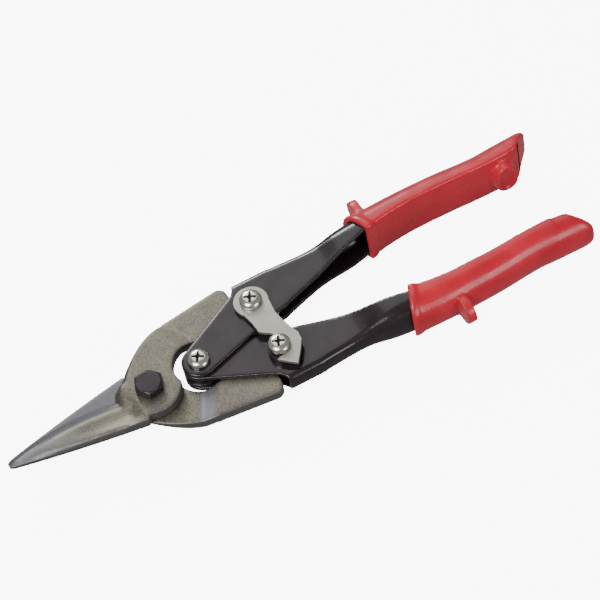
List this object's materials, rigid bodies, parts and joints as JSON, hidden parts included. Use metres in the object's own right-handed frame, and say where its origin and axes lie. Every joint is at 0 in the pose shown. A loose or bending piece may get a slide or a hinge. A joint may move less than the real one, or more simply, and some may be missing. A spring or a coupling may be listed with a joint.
{
  "type": "aviation snips",
  "caption": "Compound-action straight-cut aviation snips with cushioned grips and a hook latch, shown closed and latched.",
  "frame": {"origin": "centre of the bounding box in plan, on the plane the tool lies on (pivot nut and grip collars)", "axes": "+X from the blade tips to the grip ends, +Y across the tool to the upper handle, +Z out of the front face with the latch"},
  "size_m": [0.2544, 0.081, 0.023],
  "materials": {
    "forged_steel": "blasted forging with ground bevels",
    "black_steel": "black oxide",
    "zinc_steel": "zinc plated",
    "black_paint": "glossy black enamel",
    "red_vinyl": "smooth soft vinyl with a satin sheen",
    "nickel": "bright nickel",
    "satin_nickel": "satin nickel plate",
    "spring_steel": "drawn wire"
  },
  "bodies": {
    "lower_handle_body": {"lower_handle": "black_paint", "lower_grip": "red_vinyl", "hinge_screw": "nickel", "hinge_sleeve": "zinc_steel", "hinge_nut": "zinc_steel", "return_spring": "spring_steel", "lower_link_screw": "nickel", "lower_link_bush": "zinc_steel", "lower_link_nut": "zinc_steel", "latch_barrel": "black_steel"},
    "upper_handle_body": {"upper_handle": "black_paint", "upper_grip": "red_vinyl", "upper_link_screw": "nickel", "upper_link_bush": "zinc_steel", "upper_link_nut": "zinc_steel", "latch_washer": "zinc_steel"},
    "front_blade_body": {"front_blade": "forged_steel"},
    "rear_blade_body": {"rear_blade": "forged_steel", "pivot_bolt": "black_steel", "pivot_washer": "zinc_steel", "pivot_nut": "black_steel"},
    "latch_body": {"latch": "satin_nickel"}
  },
  "joints": [
    {"name": "handle_hinge", "type": "hinge", "parent": "lower_handle_body", "child": "upper_handle_body", "pos_m": [-0.0406, 0, 0.0115], "axis": [0, 0, 1], "range_deg": [0, 38]},
    {"name": "front_blade_link", "type": "hinge", "parent": "upper_handle_body", "child": "front_blade_body", "pos_m": [-0.01, 0.01285, 0.0115], "axis": [0, 0, 1], "range_deg": [-8.6, 0]},
    {"name": "rear_blade_link", "type": "hinge", "parent": "lower_handle_body", "child": "rear_blade_body", "pos_m": [-0.01, -0.01285, 0.0115], "axis": [0, 0, 1], "range_deg": [0, 8.6]},
    {"name": "latch_pivot", "type": "hinge", "parent": "upper_handle_body", "child": "latch_body", "pos_m": [-0.01, 0.01285, 0.0115], "axis": [0, 0, 1], "range_deg": [0, 76]}
  ],
  "couplings": [
    {"joint": "front_blade_link", "follows": "handle_hinge", "ratio": -0.2258},
    {"joint": "rear_blade_link", "follows": "handle_hinge", "ratio": 0.2258},
    {"joint": "latch_pivot", "follows": "handle_hinge", "ratio": 2}
  ]
}
